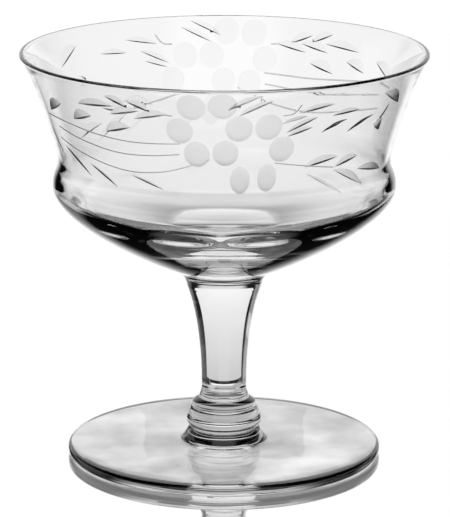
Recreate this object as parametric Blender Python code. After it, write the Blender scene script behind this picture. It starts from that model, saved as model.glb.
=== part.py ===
"""A footed sherbet glass in clear glass, made as a glasshouse makes it.

A bowl is blown into a twelve-sided optic mould, which leaves wide flat panels on its inside, and
is worked to a waisted outline with a flared, fire-polished lip. A drawn stem, a ridged button and
a pressed-out foot are then stuck to it hot, one under the other. The four pieces are turned about
the Z axis, stand on the plane z = 0 and are placed one on top of the other from the foot up.
"""

import math

import bmesh
import bpy
from mathutils import Vector

MM = 0.001

# Clearance left where two pieces meet
WELD_GAP = 0.3 * MM

# Foot: a disc with a short post in its middle, and a shallow hollow under it
FOOT_RADIUS = 37.0 * MM
FOOT_EDGE_THICKNESS = 2.4 * MM
FOOT_EDGE_ROUND = 1.0 * MM
FOOT_HEIGHT = 6.3 * MM
FOOT_RING_WIDTH = 6.0 * MM
FOOT_HOLLOW_DEPTH = 0.5 * MM
FOOT_POST_SPREAD = 2.2 * MM
FOOT_POST_RISE = 3.1 * MM

# Button between foot and stem: a bell with fine ridges left by the tool, drawn in at its lower edge
BUTTON_HEIGHT = 6.8 * MM
BUTTON_RADIUS = 8.85 * MM
BUTTON_DRAW_IN = 0.65 * MM
BUTTON_EDGE_HEIGHT = 1.3 * MM
BUTTON_SHOULDER_RADIUS = 7.6 * MM
BUTTON_SHOULDER_HEIGHT = 5.3 * MM
BUTTON_RIDGES = 3
RIDGE_DEPTH = 0.08 * MM
WELD_RADIUS = BUTTON_RADIUS - BUTTON_DRAW_IN

# Stem: solid, with a flare at each end
STEM_LENGTH = 26.6 * MM
STEM_FOOT_RADIUS = 5.8 * MM
STEM_WAIST_RADIUS = 5.28 * MM
STEM_WAIST_HEIGHT = 2.4 * MM
STEM_HEAD_RADIUS = 8.6 * MM
STEM_HEAD_SLOPE = 70.0

# Bowl, outside: heights are above its base, slopes are in degrees from the horizontal
BOWL_HEIGHT = 55.9 * MM
NECK_STEP = 0.1 * MM
BOWL_NECK_RADIUS = STEM_HEAD_RADIUS + NECK_STEP
BOWL_NECK_RISE = 4.0 * MM
BOWL_NECK_REACH = 2.8 * MM
BOWL_UNDERSIDE_SLOPE = 23.6
BULGE_RADIUS = 40.05 * MM
BULGE_HEIGHT = 24.5 * MM
WAIST_RADIUS = 38.7 * MM
WAIST_HEIGHT = 31.1 * MM
RIM_RADIUS = 47.5 * MM
RIM_SLOPE = 54.0

# Bowl, inside: walls are measured level, and the floor is a shallow dish inside a rounded heel
RIM_WALL = 1.1 * MM
WAIST_WALL = 0.94 * MM
BULGE_WALL = 1.56 * MM
HEEL_LEAD = 0.13
HEEL_TRAIL = 0.58
FLOOR_RADIUS = 13.2 * MM
FLOOR_CORNER_HEIGHT = 11.8 * MM
FLOOR_CORNER_SLOPE = 11.4
FLOOR_HEIGHT = 9.4 * MM
FLOOR_DISH = 2.2

# Optic: flat panels that the mould leaves round the heel, with corners softened by the heat
OPTIC_PANELS = 12
OPTIC_TURN = 22.5
OPTIC_DEPTH = 0.8
OPTIC_RADIUS = 34.9 * MM
OPTIC_WIDTH = 1.5 * MM
OPTIC_SOFTNESS = 0.5

# Facets round each piece; the bowl's count is a multiple of its panels
BOWL_FACETS = 5 * OPTIC_PANELS
FOOT_FACETS = 60
STEM_FACETS = 36

GLASS_COLOUR = (0.93, 0.95, 0.95, 1.0)
GLASS_ROUGHNESS = 0.02
GLASS_INDEX = 1.52


def towards(slope, length):
    """A step of the given length, rising at slope degrees from the horizontal."""
    angle = math.radians(slope)
    return Vector((math.cos(angle), math.sin(angle))) * length


def curve(start, start_handle, end_handle, end, steps):
    """Points (radius, height) along a cubic curve, without its first point."""
    points = []
    for step in range(1, steps + 1):
        t = step / steps
        s = 1.0 - t
        points.append(
            start * s**3 + start_handle * (3 * t * s * s) + end_handle * (3 * t * t * s) + end * t**3
        )
    return points


def arc(centre, radius, first, last, steps):
    """Points on a circle about centre, between two angles in degrees, both ends included."""
    angles = (first + (last - first) * step / steps for step in range(steps + 1))
    return [centre + towards(angle, radius) for angle in angles]


def smoothstep(value):
    """A ramp from 0 to 1 that starts and ends level."""
    value = min(max(value, 0.0), 1.0)
    return value * value * (3.0 - 2.0 * value)


def glass(name):
    """Clear, colourless glass."""
    material = bpy.data.materials.new(name)
    material.use_nodes = True
    shader = material.node_tree.nodes["Principled BSDF"]
    shader.inputs["Base Color"].default_value = GLASS_COLOUR
    shader.inputs["Roughness"].default_value = GLASS_ROUGHNESS
    shader.inputs["Metallic"].default_value = 0.0
    shader.inputs["IOR"].default_value = GLASS_INDEX
    shader.inputs["Transmission Weight"].default_value = 1.0
    return material


def press_panels(bm, pressed):
    """Flattens the turned surface into the optic's panels, as far as each point's share asks."""
    half = math.pi / OPTIC_PANELS
    turn = math.radians(OPTIC_TURN)
    for vert in bm.verts:
        share = vert[pressed]
        if share <= 0.0:
            continue
        off_centre = (math.atan2(vert.co.y, vert.co.x) - turn) % (2 * half) - half
        flat = math.cos(half) / math.cos(off_centre) - 1.0
        wave = (math.cos(half) - 1.0) * (1.0 + math.cos(OPTIC_PANELS * off_centre)) / 2
        vert.co.xy *= 1.0 + share * (flat + OPTIC_SOFTNESS * (wave - flat))


def turned(name, outline, facets, base, parent, shares=None):
    """One closed piece turned from an outline that starts and ends on the axis.

    The outline runs from the top of the axis down the outer side. Shares, where given, say how far
    each of its points is pressed into the optic's panels.
    """
    bm = bmesh.new()
    pressed = bm.verts.layers.float.new("pressed")
    turn = math.radians(OPTIC_TURN)
    profile = []
    for index, (radius, height) in enumerate(outline):
        vert = bm.verts.new((radius * math.cos(turn), radius * math.sin(turn), height))
        vert[pressed] = shares[index] if shares else 0.0
        profile.append(vert)
    edges = [bm.edges.new(pair) for pair in zip(profile, profile[1:])]
    bmesh.ops.spin(
        bm,
        geom=profile + edges,
        axis=(0, 0, 1),
        cent=(0, 0, 0),
        steps=facets,
        angle=2 * math.pi,
        use_merge=True,
    )
    bmesh.ops.remove_doubles(bm, verts=bm.verts, dist=MM / 1000)
    press_panels(bm, pressed)
    bmesh.ops.recalc_face_normals(bm, faces=bm.faces)
    mesh = bpy.data.meshes.new(name)
    bm.to_mesh(mesh)
    bm.free()
    mesh.shade_smooth()
    mesh.set_sharp_from_angle(angle=math.radians(35))
    mesh.materials.append(glass(f"{name}_glass"))
    piece = bpy.data.objects.new(name, mesh)
    piece.location.z = base
    piece.parent = parent
    bpy.context.scene.collection.objects.link(piece)
    return piece


def foot_outline():
    """The disc, its rounded edge and its post, with the hollow that leaves a ring to stand on."""
    post_top = Vector((WELD_RADIUS, FOOT_HEIGHT))
    post_end = Vector((WELD_RADIUS + FOOT_POST_SPREAD, FOOT_HEIGHT - FOOT_POST_RISE))
    edge_centre = Vector((FOOT_RADIUS - FOOT_EDGE_ROUND, FOOT_EDGE_THICKNESS - FOOT_EDGE_ROUND))
    fall = post_end.y - FOOT_EDGE_THICKNESS
    slope = math.degrees(math.atan2(fall, edge_centre.x - post_end.x))
    outline = [Vector((0, FOOT_HEIGHT)), post_top]
    outline += curve(
        post_top,
        post_top.lerp(post_end, 0.6) + towards(-135, 0.1 * FOOT_POST_RISE),
        post_end - towards(-slope, 0.25 * FOOT_POST_SPREAD),
        post_end,
        5,
    )
    outline += arc(edge_centre, FOOT_EDGE_ROUND, 90 - slope, 0, 3)
    low_round = min(FOOT_EDGE_ROUND, FOOT_EDGE_THICKNESS - FOOT_EDGE_ROUND)
    outline += arc(Vector((FOOT_RADIUS - low_round, low_round)), low_round, 0, -90, 3)
    ring_inside = FOOT_RADIUS - low_round - FOOT_RING_WIDTH
    outline.append(Vector((ring_inside, 0)))
    for share in (0.75, 0.4, 0.0):
        outline.append(Vector((share * ring_inside, FOOT_HOLLOW_DEPTH * (1.0 - share * share))))
    return outline


def button_outline():
    """A bell that spreads downwards in fine ridges and is drawn in at its lower edge."""
    top = Vector((STEM_FOOT_RADIUS, BUTTON_HEIGHT))
    shoulder = Vector((BUTTON_SHOULDER_RADIUS, BUTTON_SHOULDER_HEIGHT))
    edge = Vector((BUTTON_RADIUS, BUTTON_EDGE_HEIGHT))
    base = Vector((WELD_RADIUS, 0))
    outline = [Vector((0, BUTTON_HEIGHT)), top]
    outline += curve(
        top,
        top + towards(-30, 0.5 * (shoulder.x - top.x)),
        shoulder + towards(110, 0.4 * (top.y - shoulder.y)),
        shoulder,
        4,
    )
    count = 4 * BUTTON_RIDGES
    for step in range(1, count + 1):
        share = step / count
        swell = RIDGE_DEPTH * abs(math.sin(math.pi * BUTTON_RIDGES * share))
        outline.append(shoulder.lerp(edge, share) + Vector((swell, 0)))
    outline += curve(
        edge,
        edge + towards(-90, 0.6 * BUTTON_EDGE_HEIGHT),
        base + towards(45, 0.5 * BUTTON_DRAW_IN),
        base,
        4,
    )
    outline.append(Vector((0, 0)))
    return outline


def stem_outline():
    """A solid stem, narrow near its foot and widening into the neck of the bowl."""
    head = Vector((STEM_HEAD_RADIUS, STEM_LENGTH))
    waist = Vector((STEM_WAIST_RADIUS, STEM_WAIST_HEIGHT))
    foot = Vector((STEM_FOOT_RADIUS, 0))
    shaft = STEM_LENGTH - STEM_WAIST_HEIGHT
    outline = [Vector((0, STEM_LENGTH)), head]
    outline += curve(
        head,
        head - towards(STEM_HEAD_SLOPE, shaft / 4),
        waist + towards(90, shaft * 0.43),
        waist,
        9,
    )
    outline += curve(
        waist,
        waist + towards(-90, 0.6 * STEM_WAIST_HEIGHT),
        foot + towards(90, 0.3 * STEM_WAIST_HEIGHT),
        foot,
        3,
    )
    outline.append(Vector((0, 0)))
    return outline


def bowl_outside():
    """The bowl's outer line from the rim down: flare, waist, bulge, sloping underside and neck."""
    rim = Vector((RIM_RADIUS, BOWL_HEIGHT - RIM_WALL / 2))
    waist = Vector((WAIST_RADIUS, WAIST_HEIGHT))
    bulge = Vector((BULGE_RADIUS, BULGE_HEIGHT))
    neck = Vector((BOWL_NECK_RADIUS, 0))
    underside = neck + Vector((BOWL_NECK_REACH, BOWL_NECK_RISE))
    flare = rim.y - waist.y
    swell = waist.y - bulge.y
    below = bulge.y - underside.y
    slope = BOWL_UNDERSIDE_SLOPE
    outline = [rim]
    outline += curve(
        rim, rim - towards(RIM_SLOPE, flare / 4), waist + towards(90, flare / 12), waist, 9
    )
    outline += curve(waist, waist + towards(-90, swell / 2), bulge + towards(90, swell / 2), bulge, 4)
    outline += curve(
        bulge, bulge + towards(-90, 0.38 * below), underside + towards(slope, 0.2 * below), underside, 9
    )
    outline += curve(
        underside,
        underside - towards(slope, 0.5 * BOWL_NECK_REACH),
        neck + towards(78, 0.6 * BOWL_NECK_RISE),
        neck,
        3,
    )
    return outline


def wall_at(height):
    """The level thickness of the wall at a height above the bulge."""
    if height < WAIST_HEIGHT:
        share = (height - BULGE_HEIGHT) / (WAIST_HEIGHT - BULGE_HEIGHT)
        return BULGE_WALL + (WAIST_WALL - BULGE_WALL) * share
    share = (height - WAIST_HEIGHT) / (BOWL_HEIGHT - WAIST_HEIGHT)
    return WAIST_WALL + (RIM_WALL - WAIST_WALL) * share


def bowl_inside(outside):
    """The bowl's inner line from the rim down: wall, heel and dished floor."""
    line = [
        Vector((point.x - wall_at(point.y), point.y)) for point in outside[1:] if point.y >= BULGE_HEIGHT
    ]
    corner = Vector((FLOOR_RADIUS, FLOOR_CORNER_HEIGHT))
    reach = (line[-1] - corner).length
    line += curve(
        line[-1],
        line[-1] + towards(-90, HEEL_LEAD * reach),
        corner + towards(FLOOR_CORNER_SLOPE, HEEL_TRAIL * reach),
        corner,
        14,
    )
    for share in (0.86, 0.71, 0.56, 0.41, 0.21, 0.0):
        rise = (FLOOR_CORNER_HEIGHT - FLOOR_HEIGHT) * share**FLOOR_DISH
        line.append(Vector((share * FLOOR_RADIUS, FLOOR_HEIGHT + rise)))
    return line


def optic_share(point):
    """How far a point of the inner line is pressed into the panels: most on the heel, none at the waist."""
    ring = math.exp(-(((point.x - OPTIC_RADIUS) / OPTIC_WIDTH) ** 2))
    fade = smoothstep((WAIST_HEIGHT - point.y) / (WAIST_HEIGHT - BULGE_HEIGHT))
    return OPTIC_DEPTH * ring * fade


def bowl_outline():
    """The whole closed outline of the bowl's glass: floor, inside wall, lip and outside."""
    outside = bowl_outside()
    inside = bowl_inside(outside)
    lip_radius = RIM_WALL / 2
    lip_centre = outside[0] - Vector((lip_radius, 0))
    lip = arc(lip_centre, lip_radius, 180, 0, 4)
    outline = inside[::-1] + lip + outside[1:] + [Vector((0, 0))]
    pressed = [optic_share(point) for point in inside[::-1]]
    pressed += [0.0] * (len(outline) - len(inside))
    return outline, pressed


def build():
    """Clears the scene and stacks the four pieces under one empty."""
    for obj in list(bpy.data.objects):
        bpy.data.objects.remove(obj, do_unlink=True)
    glass_root = bpy.data.objects.new("sherbet_glass", None)
    bpy.context.scene.collection.objects.link(glass_root)
    button_base = FOOT_HEIGHT + WELD_GAP
    stem_base = button_base + BUTTON_HEIGHT + WELD_GAP
    bowl_base = stem_base + STEM_LENGTH + WELD_GAP
    turned("foot", foot_outline(), FOOT_FACETS, 0.0, glass_root)
    turned("button", button_outline(), STEM_FACETS, button_base, glass_root)
    turned("stem", stem_outline(), STEM_FACETS, stem_base, glass_root)
    outline, pressed = bowl_outline()
    turned("bowl", outline, BOWL_FACETS, bowl_base, glass_root, pressed)


build()
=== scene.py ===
"""Looks of a footed sherbet glass: clear blown glass with wheel-cut flower sprays round its bowl."""

from __future__ import annotations

import logging
import math
from dataclasses import dataclass, field
from enum import Enum
from typing import Sequence

import bpy
import numpy as np
from mathutils import Matrix, Vector


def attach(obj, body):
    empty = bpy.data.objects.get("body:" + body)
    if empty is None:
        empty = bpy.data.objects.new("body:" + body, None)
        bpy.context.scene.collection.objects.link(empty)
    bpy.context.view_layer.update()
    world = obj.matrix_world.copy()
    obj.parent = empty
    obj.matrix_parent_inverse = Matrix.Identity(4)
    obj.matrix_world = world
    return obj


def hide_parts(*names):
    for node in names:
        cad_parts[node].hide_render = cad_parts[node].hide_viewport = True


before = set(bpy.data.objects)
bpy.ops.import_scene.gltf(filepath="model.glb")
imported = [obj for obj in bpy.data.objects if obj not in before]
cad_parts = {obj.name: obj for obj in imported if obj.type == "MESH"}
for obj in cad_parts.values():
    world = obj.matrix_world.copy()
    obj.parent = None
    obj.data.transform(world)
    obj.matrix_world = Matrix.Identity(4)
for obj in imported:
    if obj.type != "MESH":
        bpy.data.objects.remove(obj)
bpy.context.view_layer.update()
MM = 0.001
UP = 90.0
DOWN = -90.0
WELD_GAP = 0.3 * MM
GLASS_INDEX = 1.52
FACETS = 240
TURNED_OVER = (0, 3, 2, 1)
MOST_BOUNCES = 40
MOST_REFLECTIONS = 24
SOCKET_KINDS = {
    bpy.types.Object: "NodeSocketObject",
    bpy.types.Material: "NodeSocketMaterial",
    float: "NodeSocketFloat",
    int: "NodeSocketInt",
}
log = logging.getLogger("sherbet_glass")

Line = np.ndarray
Place = tuple[float, float]
Triple = tuple[float, float, float]
Socket = bpy.types.NodeSocket


def point(radius: float, height: float) -> Line:
    """A point of an outline: its distance from the axis and its height."""
    return np.array([radius, height], dtype=float)


def towards(slope: float, length: float) -> Line:
    """A step of the given length that rises at slope degrees from the level."""
    angle = math.radians(slope)
    return np.array([math.cos(angle), math.sin(angle)]) * length


def curve(start: Line, start_handle: Line, end_handle: Line, end: Line, steps: int) -> Line:
    """Points along a cubic curve.

    Args:
        start: The first end.
        start_handle: The point that the curve leaves the first end for.
        end_handle: The point that it reaches the second end from.
        end: The second end.
        steps: How many points are made.

    Returns:
        The points in order, without the first end.
    """
    t = np.linspace(0.0, 1.0, steps + 1)[1:, None]
    s = 1.0 - t
    return start * s**3 + start_handle * (3 * t * s * s) + end_handle * (3 * t * t * s) + end * t**3


def arc(centre: Line, radius: float, first: float, last: float, steps: int) -> Line:
    """Points on a circle.

    Args:
        centre: The circle's centre.
        radius: The circle's radius.
        first: The angle of the first point, in degrees.
        last: The angle of the last point, in degrees.
        steps: How many steps lie between them.

    Returns:
        The points in order, with both ends.
    """
    angles = np.radians(np.linspace(first, last, steps + 1))
    return centre + radius * np.column_stack([np.cos(angles), np.sin(angles)])


def smoothstep(value: np.ndarray) -> np.ndarray:
    """A ramp from 0 to 1 that starts and ends level."""
    value = np.clip(value, 0.0, 1.0)
    return value * value * (3.0 - 2.0 * value)


def ring_points(radii: np.ndarray, heights: np.ndarray, steps: int) -> np.ndarray:
    """Points on level rings about the axis.

    Args:
        radii: Each ring's radius.
        heights: Each ring's height.
        steps: How many points a ring has.

    Returns:
        The points, ring by ring.
    """
    angles = np.linspace(0.0, 2 * math.pi, steps, endpoint=False)
    points = np.empty((len(radii), steps, 3))
    points[..., 0] = radii[:, None] * np.cos(angles)
    points[..., 1] = radii[:, None] * np.sin(angles)
    points[..., 2] = heights[:, None]
    return points


def ring_index(rings: int, steps: int) -> np.ndarray:
    """The vertex numbers of rings, ring by ring."""
    return np.arange(rings * steps).reshape(rings, steps)


def ring_faces(index: np.ndarray) -> np.ndarray:
    """Faces between neighbouring rings of vertices.

    Args:
        index: The vertex numbers, ring by ring.

    Returns:
        The faces' vertex numbers, four to a row.
    """
    near, far = index[:-1], index[1:]
    return np.stack([near, far, np.roll(far, -1, 1), np.roll(near, -1, 1)], axis=-1).reshape(-1, 4)


def new_mesh(name: str, places: Sequence[Sequence[float]], faces: Sequence[Sequence[int]]) -> bpy.types.Mesh:
    """Makes a mesh.

    Args:
        name: The mesh's name.
        places: The vertices' places.
        faces: The faces' vertex numbers.

    Returns:
        The mesh.
    """
    mesh = bpy.data.meshes.new(name)
    mesh.from_pydata(places, [], faces)
    mesh.update()
    return mesh


def link(name: str, data: bpy.types.ID) -> bpy.types.Object:
    """Makes an object of some data and puts it in the scene.

    Args:
        name: The object's name.
        data: Its mesh, curve or camera.

    Returns:
        The object.
    """
    made = bpy.data.objects.new(name, data)
    bpy.context.scene.collection.objects.link(made)
    return made


def read(items: bpy.types.bpy_prop_collection, name: str, kind: type = np.int32) -> np.ndarray:
    """Reads one property of all the items of a mesh.

    Args:
        items: The mesh's faces, edges or corners.
        name: The property's name.
        kind: The values' type.

    Returns:
        The values in order.
    """
    values = np.empty(len(items), dtype=kind)
    items.foreach_get(name, values)
    return values


def crease(mesh: bpy.types.Mesh, angle: float | None = None) -> None:
    """Makes the edges sharp where two finishes meet, and where faces meet at a large angle.

    Args:
        mesh: The mesh.
        angle: The angle in degrees above which an edge is sharp, if that counts.
    """
    if angle is not None:
        mesh.set_sharp_from_angle(angle=math.radians(angle))
    slots = np.repeat(read(mesh.polygons, "material_index"), read(mesh.polygons, "loop_total"))
    edges = read(mesh.loops, "edge_index")
    least = np.full(len(mesh.edges), np.iinfo(np.int32).max, dtype=np.int32)
    most = np.full(len(mesh.edges), -1, dtype=np.int32)
    np.minimum.at(least, edges, slots)
    np.maximum.at(most, edges, slots)
    sharp = read(mesh.edges, "use_edge_sharp", bool)
    mesh.edges.foreach_set("use_edge_sharp", sharp | (least != most))
    mesh.update()


def bake(piece: bpy.types.Object) -> None:
    """Turns a piece and its modifiers into a plain mesh.

    Args:
        piece: The piece, which loses its modifiers.
    """
    graph = bpy.context.evaluated_depsgraph_get()
    mesh = bpy.data.meshes.new_from_object(piece.evaluated_get(graph), depsgraph=graph)
    rough = piece.data
    piece.modifiers.clear()
    piece.data = mesh
    mesh.name = piece.name
    bpy.data.meshes.remove(rough)


class NodeKit:
    """A node tree with short ways to add to it."""

    def __init__(self, tree: bpy.types.NodeTree) -> None:
        """Takes the tree that the nodes go into."""
        self.tree = tree

    def add(self, kind: str, **settings: object) -> bpy.types.Node:
        """Adds a node.

        Args:
            kind: The node's type name.
            settings: The node's own properties, by name.

        Returns:
            The new node.
        """
        node = self.tree.nodes.new(kind)
        for name, value in settings.items():
            setattr(node, name, value)
        return node

    def feed(self, slot: Socket, value: object) -> None:
        """Links a socket into an input, or sets the input to a plain value.

        Args:
            slot: The input.
            value: A socket of another node, or a plain value.
        """
        if isinstance(value, Socket):
            self.tree.links.new(value, slot)
        else:
            slot.default_value = value

    def fill(self, node: bpy.types.Node, **values: object) -> bpy.types.Node:
        """Feeds a node's inputs by name.

        Args:
            node: The node.
            values: Sockets or plain values, with _ for a space in an input's name.

        Returns:
            The same node.
        """
        for name, value in values.items():
            self.feed(node.inputs[name.replace("_", " ")], value)
        return node

    def made(self, kind: str, **values: object) -> Socket:
        """The first output of a new node, with the node's inputs fed by name."""
        return self.fill(self.add(kind), **values).outputs[0]

    def math(self, operation: str, *values: object) -> Socket:
        """Adds a math node on up to three values.

        Args:
            operation: The node's operation.
            values: Sockets or numbers.

        Returns:
            The result's socket.
        """
        node = self.add("ShaderNodeMath", operation=operation)
        for slot, value in zip(node.inputs, values):
            self.feed(slot, value)
        return node.outputs[0]

    def vector(self, operation: str, *values: object) -> Socket:
        """Adds a vector math node.

        Args:
            operation: The node's operation.
            values: Sockets, vectors or, for a scale, a number in the last place.

        Returns:
            The result's socket, a number for a dot product or a length and a vector otherwise.
        """
        node = self.add("ShaderNodeVectorMath", operation=operation)
        slots = [node.inputs[0], node.inputs["Scale"]] if operation == "SCALE" else node.inputs
        for slot, value in zip(slots, values):
            self.feed(slot, value)
        return node.outputs["Value" if operation in ("DOT_PRODUCT", "LENGTH") else "Vector"]

    def combine(self, x: object, y: object, z: object) -> Socket:
        """A vector from three sockets or numbers."""
        return self.made("ShaderNodeCombineXYZ", X=x, Y=y, Z=z)

    def separate(self, value: Socket) -> list[Socket]:
        """The three parts of a vector."""
        return list(self.fill(self.add("ShaderNodeSeparateXYZ"), Vector=value).outputs)

    def place(self) -> Socket:
        """A material's place on the object."""
        return self.add("ShaderNodeTexCoord").outputs["Object"]

    def noise(self, place: Socket, scale: float, detail: float) -> Socket:
        """Soft random patches between 0 and 1."""
        return self.made("ShaderNodeTexNoise", Vector=place, Scale=scale, Detail=detail)

    def spread(self, value: Socket, ends: Place, results: Place, kind: str = "LINEAR") -> Socket:
        """Maps one range of numbers onto another and holds its ends.

        Args:
            value: What is measured.
            ends: The range's two ends.
            results: What the two ends become.
            kind: How the numbers between them follow.

        Returns:
            The result's socket.
        """
        node = self.add("ShaderNodeMapRange", interpolation_type=kind)
        self.fill(node, Value=value, From_Min=ends[0], From_Max=ends[1])
        return self.fill(node, To_Min=results[0], To_Max=results[1]).outputs["Result"]

    def ramp(self, value: Socket, middle: float, soft: float) -> Socket:
        """Adds a soft ramp from 0 to 1.

        Args:
            value: What is measured.
            middle: Where the ramp is half way.
            soft: How wide it is.

        Returns:
            The ramp's socket.
        """
        return self.spread(value, (middle - soft / 2, middle + soft / 2), (0.0, 1.0), "SMOOTHSTEP")

    def band(self, value: Socket, low: float, high: float, soft: float) -> Socket:
        """Adds a band with soft edges.

        Args:
            value: What is measured.
            low: The band's lower edge.
            high: The band's upper edge.
            soft: The width of each edge.

        Returns:
            A socket that is 1 inside the band and 0 outside it.
        """
        rising = self.ramp(value, low, soft)
        falling = self.ramp(value, high, soft)
        return self.math("SUBTRACT", rising, self.math("MULTIPLY", rising, falling))


class GeometryTree(NodeKit):
    """A geometry tree for one piece, with named inputs for its sizes, shapes and finishes."""

    def __init__(self, name: str, values: dict[str, object]) -> None:
        """Starts the tree.

        Args:
            name: The tree's name.
            values: The inputs' values, by name.
        """
        super().__init__(bpy.data.node_groups.new(name, "GeometryNodeTree"))
        face = self.tree.interface
        face.new_socket("Geometry", in_out="INPUT", socket_type="NodeSocketGeometry")
        face.new_socket("Geometry", in_out="OUTPUT", socket_type="NodeSocketGeometry")
        self.values = {}
        for label, value in values.items():
            made = face.new_socket(label, in_out="INPUT", socket_type=SOCKET_KINDS[type(value)])
            self.values[made.identifier] = value
        self.source = self.add("NodeGroupInput")

    def input(self, label: str) -> Socket:
        """The socket of a named input."""
        return self.source.outputs[label]

    def shape(self, label: str) -> Socket:
        """The shape of an object that is a named input."""
        return self.fill(self.add("GeometryNodeObjectInfo"), Object=self.input(label)).outputs["Geometry"]

    def attribute(self, name: str, kind: str) -> Socket:
        """A named attribute of the mesh or of its points."""
        node = self.add("GeometryNodeInputNamedAttribute", data_type=kind)
        return self.fill(node, Name=name).outputs[0]

    def apply(self, piece: bpy.types.Object, geometry: Socket) -> None:
        """Ends the tree, gives it to a piece and turns the result into plain mesh.

        Args:
            piece: The piece.
            geometry: What the tree makes of the piece.
        """
        self.feed(self.add("NodeGroupOutput").inputs[0], geometry)
        modifier = piece.modifiers.new(self.tree.name, "NODES")
        modifier.node_group = self.tree
        for key, value in self.values.items():
            modifier[key] = value
        bake(piece)


def start_finish(name: str, **values: object) -> tuple[bpy.types.Material, NodeKit, bpy.types.Node]:
    """Starts a finish of the glass.

    Args:
        name: The material's name.
        values: The shader's inputs, by name with _ for a space.

    Returns:
        The material, its kit and its shader.
    """
    material = bpy.data.materials.new(name)
    material.use_nodes = True
    kit = NodeKit(material.node_tree)
    return material, kit, kit.fill(material.node_tree.nodes["Principled BSDF"], **values)


@dataclass(frozen=True)
class ClearGlass:
    """Clear, colourless glass with a fire-polished surface and the faint rings that tools leave in it."""

    colour: Triple = (0.998, 0.998, 0.998)
    roughness: float = 0.0
    index: float = GLASS_INDEX
    ring_scale: float = 60.0
    ring_stretch: float = 7.0
    ring_detail: float = 1.0
    ring_depth: float = 0.02 * MM

    def material(self) -> bpy.types.Material:
        """Makes the finish.

        Returns:
            The material.
        """
        material, kit, shader = start_finish(
            "clear_glass",
            Base_Color=(*self.colour, 1.0),
            Roughness=self.roughness,
            IOR=self.index,
            Transmission_Weight=1.0,
        )
        drawn = kit.vector("MULTIPLY", kit.place(), (1.0, 1.0, self.ring_stretch))
        rings = kit.noise(drawn, self.ring_scale, self.ring_detail)
        bump = kit.made("ShaderNodeBump", Height=rings, Strength=1.0, Distance=self.ring_depth)
        kit.fill(shader, Normal=bump)
        return material


@dataclass(frozen=True)
class GreyCut:
    """Glass left matt by a stone wheel, with the fine scratches of the stone.

    The cuts on the side away from front are finer: worn is their share of the front's roughness.
    """

    colour: Triple = (0.92, 0.92, 0.92)
    smooth: float = 0.32
    coarse: float = 0.42
    front: Triple = (0.41, -0.91, 0.0)
    front_depth: float = 12.0 * MM
    worn: float = 0.45
    index: float = GLASS_INDEX
    grain_scale: float = 2500.0
    grain_detail: float = 2.0
    grain_strength: float = 0.4
    grain_depth: float = 0.01 * MM

    def material(self) -> bpy.types.Material:
        """Makes the finish.

        Returns:
            The material.
        """
        material, kit, shader = start_finish(
            "grey_cut", Base_Color=(*self.colour, 1.0), IOR=self.index, Transmission_Weight=1.0
        )
        place = kit.place()
        grain = kit.noise(place, self.grain_scale, self.grain_detail)
        stone = kit.spread(grain, (0.0, 1.0), (self.smooth, self.coarse))
        ahead = kit.vector("DOT_PRODUCT", place, self.front)
        side = kit.spread(ahead, (-self.front_depth, self.front_depth), (self.worn, 1.0))
        bump = kit.made(
            "ShaderNodeBump", Height=grain, Strength=self.grain_strength, Distance=self.grain_depth
        )
        kit.fill(shader, Roughness=kit.math("MULTIPLY", stone, side), Normal=bump)
        return material


@dataclass(frozen=True)
class WeldFace:
    """The face inside the glass where two pieces were stuck together hot, which can't be seen."""

    index: float = GLASS_INDEX

    def material(self) -> bpy.types.Material:
        """Makes the finish."""
        return start_finish("weld_face", Alpha=0.0, IOR=self.index)[0]


class End(Enum):
    """What closes a turned piece on its axis."""

    GLASS = 0
    WELD = 1


@dataclass
class Turned:
    """A closed piece of glass turned about the upright axis.

    The outline runs from its upper point on the axis to its lower one. Where pressed is given, it holds a
    share of 0 to 1 for each point, which says how far an optic mould presses it.
    """

    name: str
    outline: Line
    top: End = End.GLASS
    bottom: End = End.GLASS
    pressed: np.ndarray | None = None

    def faces(self, index: np.ndarray) -> list[Sequence[int]]:
        """The faces of the turned skin, then of its upper and its lower end.

        Args:
            index: The vertex numbers, ring by ring.

        Returns:
            The faces' vertex numbers.
        """
        faces = ring_faces(index).tolist()
        faces += [(index.size, a, b) for a, b in zip(index[0], np.roll(index[0], -1))]
        faces += [(index.size + 1, b, a) for a, b in zip(index[-1], np.roll(index[-1], -1))]
        return faces

    def mesh(self) -> bpy.types.Mesh:
        """Turns the outline.

        Returns:
            The mesh, with the weld faces in its second material slot.
        """
        rings = self.outline[1:-1]
        places = ring_points(rings[:, 0], rings[:, 1], FACETS).reshape(-1, 3).tolist()
        places += [(0, 0, self.outline[0, 1]), (0, 0, self.outline[-1, 1])]
        mesh = new_mesh(self.name, places, self.faces(ring_index(len(rings), FACETS)))
        skin = len(mesh.polygons) - 2 * FACETS
        slots = np.repeat([0, self.top.value, self.bottom.value], [skin, FACETS, FACETS])
        mesh.polygons.foreach_set("material_index", slots.astype(np.int32))
        if self.pressed is not None:
            shares = mesh.attributes.new("pressed", "FLOAT", "POINT")
            shares.data.foreach_set("value", np.append(np.repeat(self.pressed[1:-1], FACETS), [0.0, 0.0]))
        mesh.shade_smooth()
        crease(mesh)
        return mesh


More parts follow.
